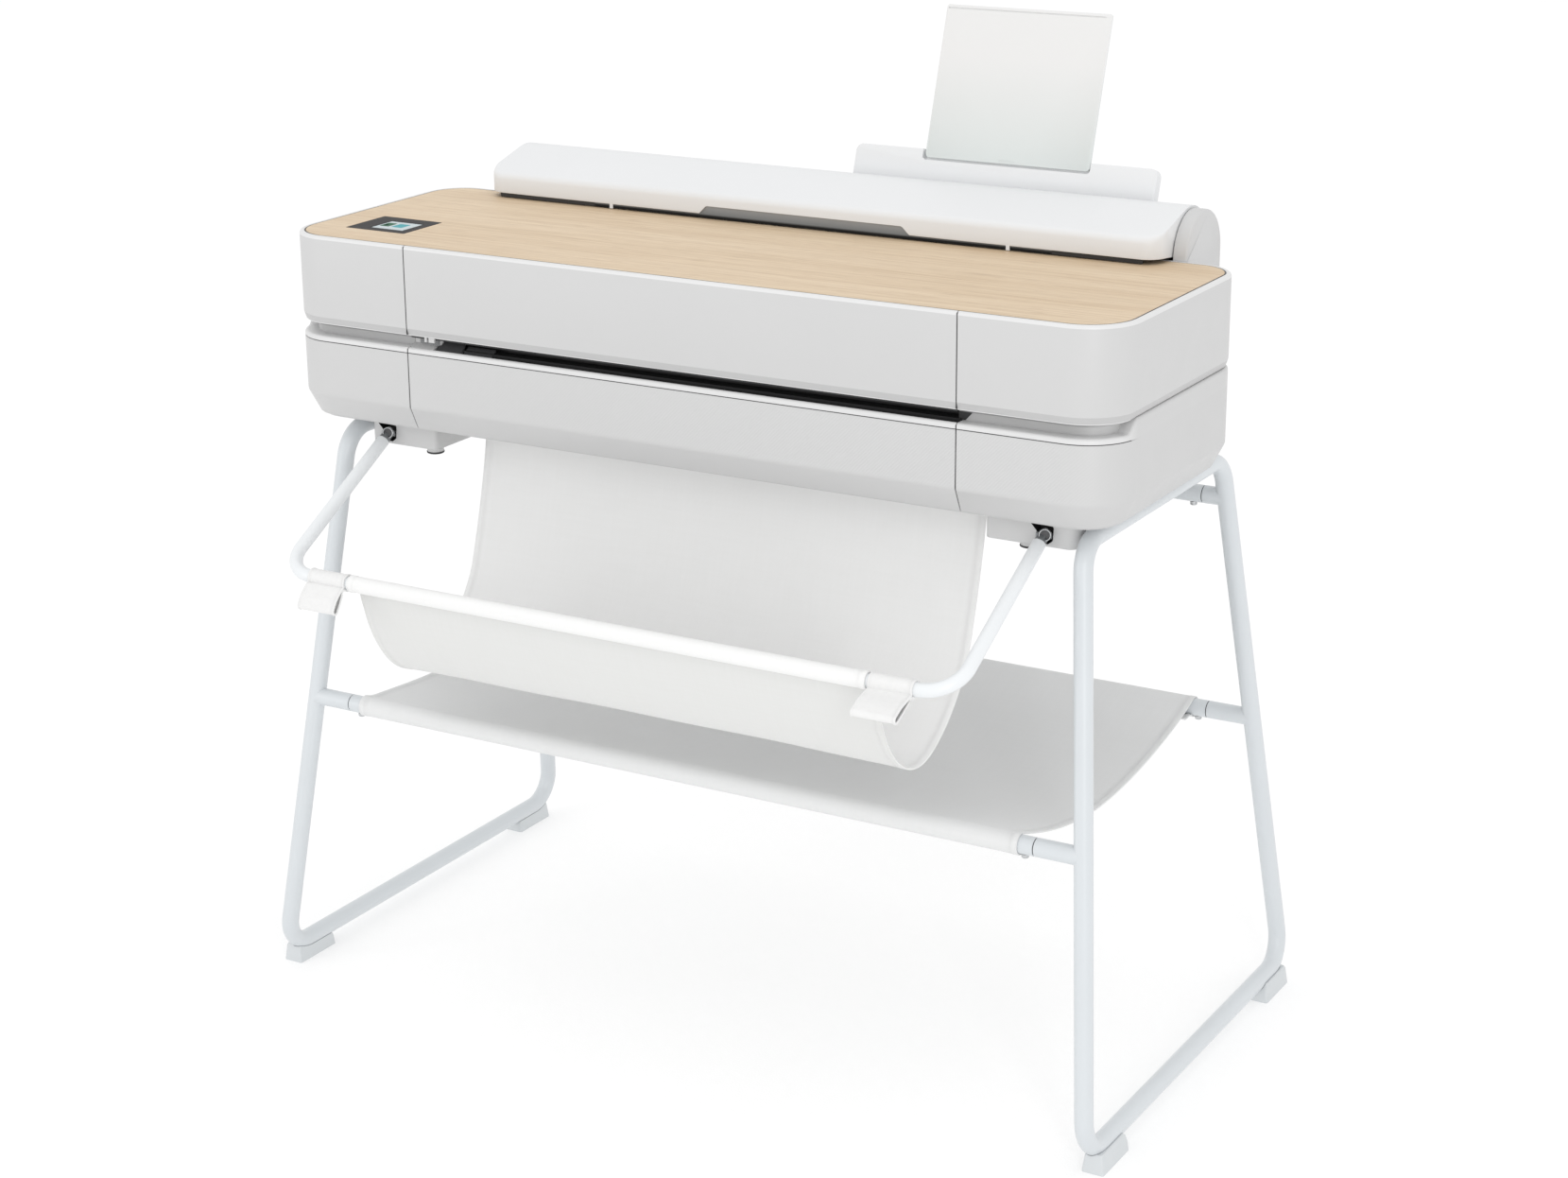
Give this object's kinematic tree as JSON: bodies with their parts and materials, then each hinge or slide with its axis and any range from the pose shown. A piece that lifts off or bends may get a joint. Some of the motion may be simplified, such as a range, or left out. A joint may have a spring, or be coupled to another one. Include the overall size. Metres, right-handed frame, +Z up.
{
  "type": "large format plotter",
  "caption": "Wide-format inkjet plotter: rounded casing with a wooden deck, rear roll cover and raised sheet support, on a splayed tube stand with a fabric paper bin and a fabric shelf.",
  "frame": {"origin": "on the floor, under the middle of the overall box", "axes": "+Z up, +X to the machine's right as seen from its front, the front with the paper slot faces -Y"},
  "size_m": [1.013, 0.6538, 1.0516],
  "materials": {
    "powder_coat": "smooth cool-white powder coat, satin",
    "white_plastic": "moulded warm-white plastic, fine grain",
    "bright_plastic": "moulded bright-white plastic, satin",
    "oak": "light oak veneer, matt lacquer",
    "screen_glass": "opaque dark glass over a colour screen",
    "fabric": "off-white woven canvas with sewn hems",
    "steel": "bare steel, fine brushing",
    "black_plastic": "black moulded plastic",
    "grey_plastic": "grey moulded plastic",
    "rubber": "black rubber",
    "circuit_board": "green solder mask",
    "ink_cyan": "glossy cyan",
    "ink_magenta": "glossy magenta",
    "ink_yellow": "glossy yellow",
    "ink_black": "glossy black"
  },
  "bodies": {
    "stand_and_casing": {"leg_frame_left": "powder_coat", "leg_frame_right": "powder_coat", "shelf_tube_front": "powder_coat", "shelf_tube_rear": "powder_coat", "upper_cross_tube": "powder_coat", "foot_front_left": "white_plastic", "foot_front_right": "white_plastic", "foot_rear_left": "white_plastic", "foot_rear_right": "white_plastic", "dock_left": "white_plastic", "dock_right": "white_plastic", "base_end_left": "white_plastic", "base_end_right": "white_plastic", "base_front": "white_plastic", "bottom_pan": "white_plastic", "rear_cover": "white_plastic", "upper_end_left": "white_plastic", "upper_end_right": "white_plastic", "roll_housing": "white_plastic", "end_cap_left": "white_plastic", "end_cap_right": "white_plastic", "wood_top": "oak", "display": "screen_glass", "bin_sling": "fabric", "shelf_sling": "fabric", "pivot_bolt_left": "steel", "pivot_bolt_right": "steel", "chassis_beam": "steel", "side_plate_left": "steel", "side_plate_right": "steel", "carriage_rail": "steel", "carriage_motor": "steel", "power_supply": "steel", "platen": "black_plastic", "power_inlet": "black_plastic", "service_station": "grey_plastic", "printer_foot_left": "rubber", "printer_foot_right": "rubber", "drive_belt": "rubber", "main_board": "circuit_board", "ink_cartridge_cyan": "ink_cyan", "ink_cartridge_magenta": "ink_magenta", "ink_cartridge_yellow": "ink_yellow", "ink_cartridge_black": "ink_black"},
    "window": {"front_window": "white_plastic"},
    "roll_lid": {"roll_cover": "bright_plastic", "tray_base": "bright_plastic"},
    "support": {"sheet_support": "bright_plastic"},
    "bin_arm": {"bin_frame": "powder_coat", "strap_loop_left": "fabric", "strap_loop_right": "fabric"},
    "print_carriage": {"carriage": "grey_plastic"},
    "belt_drive": {"motor_pulley": "steel"},
    "belt_idler": {"idler_pulley": "steel"},
    "feed_roller": {"drive_roller": "rubber", "feed_gear": "grey_plastic"},
    "pinch": {"pinch_rollers": "rubber"},
    "spindle": {"roll_spindle": "black_plastic"},
    "cutter_slide": {"cutter": "grey_plastic"}
  },
  "joints": [
    {"name": "window_hinge", "type": "hinge", "parent": "stand_and_casing", "child": "window", "pos_m": [0, -0.14422, 0.8317], "axis": [-1, 0, 0], "range_deg": [0, 80]},
    {"name": "roll_lid_hinge", "type": "hinge", "parent": "stand_and_casing", "child": "roll_lid", "pos_m": [0, 0.19967, 0.8316], "axis": [-1, 0, 0], "range_deg": [0, 60]},
    {"name": "support_hinge", "type": "hinge", "parent": "roll_lid", "child": "support", "pos_m": [0, 0.24097, 0.8973], "axis": [1, 0, 0], "range_deg": [0, 118]},
    {"name": "bin_arm_hinge", "type": "hinge", "parent": "stand_and_casing", "child": "bin_arm", "pos_m": [0, -0.09863, 0.6122], "axis": [-1, 0, 0], "range_deg": [0, 38]},
    {"name": "carriage_slide", "type": "slide", "parent": "stand_and_casing", "child": "print_carriage", "axis": [1, 0, 0], "range_m": [-0.78, 0.035]},
    {"name": "motor_pulley_spin", "type": "hinge", "parent": "stand_and_casing", "child": "belt_drive", "pos_m": [0.44, -0.00232, 0.795], "axis": [0, 1, 0], "continuous": true},
    {"name": "idler_pulley_spin", "type": "hinge", "parent": "stand_and_casing", "child": "belt_idler", "pos_m": [-0.44, -0.00232, 0.795], "axis": [0, 1, 0], "continuous": true},
    {"name": "drive_roller_spin", "type": "hinge", "parent": "stand_and_casing", "child": "feed_roller", "pos_m": [0, 0.00017, 0.7165], "axis": [1, 0, 0], "continuous": true},
    {"name": "pinch_roller_spin", "type": "hinge", "parent": "stand_and_casing", "child": "pinch", "pos_m": [0, 0.00017, 0.7331], "axis": [1, 0, 0], "continuous": true},
    {"name": "spindle_spin", "type": "hinge", "parent": "stand_and_casing", "child": "spindle", "pos_m": [0, 0.20417, 0.752], "axis": [1, 0, 0], "continuous": true},
    {"name": "cutter_travel", "type": "slide", "parent": "stand_and_casing", "child": "cutter_slide", "axis": [1, 0, 0], "range_m": [0, 0.6]}
  ],
  "couplings": [
    {"joint": "motor_pulley_spin", "follows": "carriage_slide", "rad_per_m": 120.48},
    {"joint": "idler_pulley_spin", "follows": "carriage_slide", "rad_per_m": 120.48},
    {"joint": "pinch_roller_spin", "follows": "drive_roller_spin", "ratio": -1.6667}
  ]
}
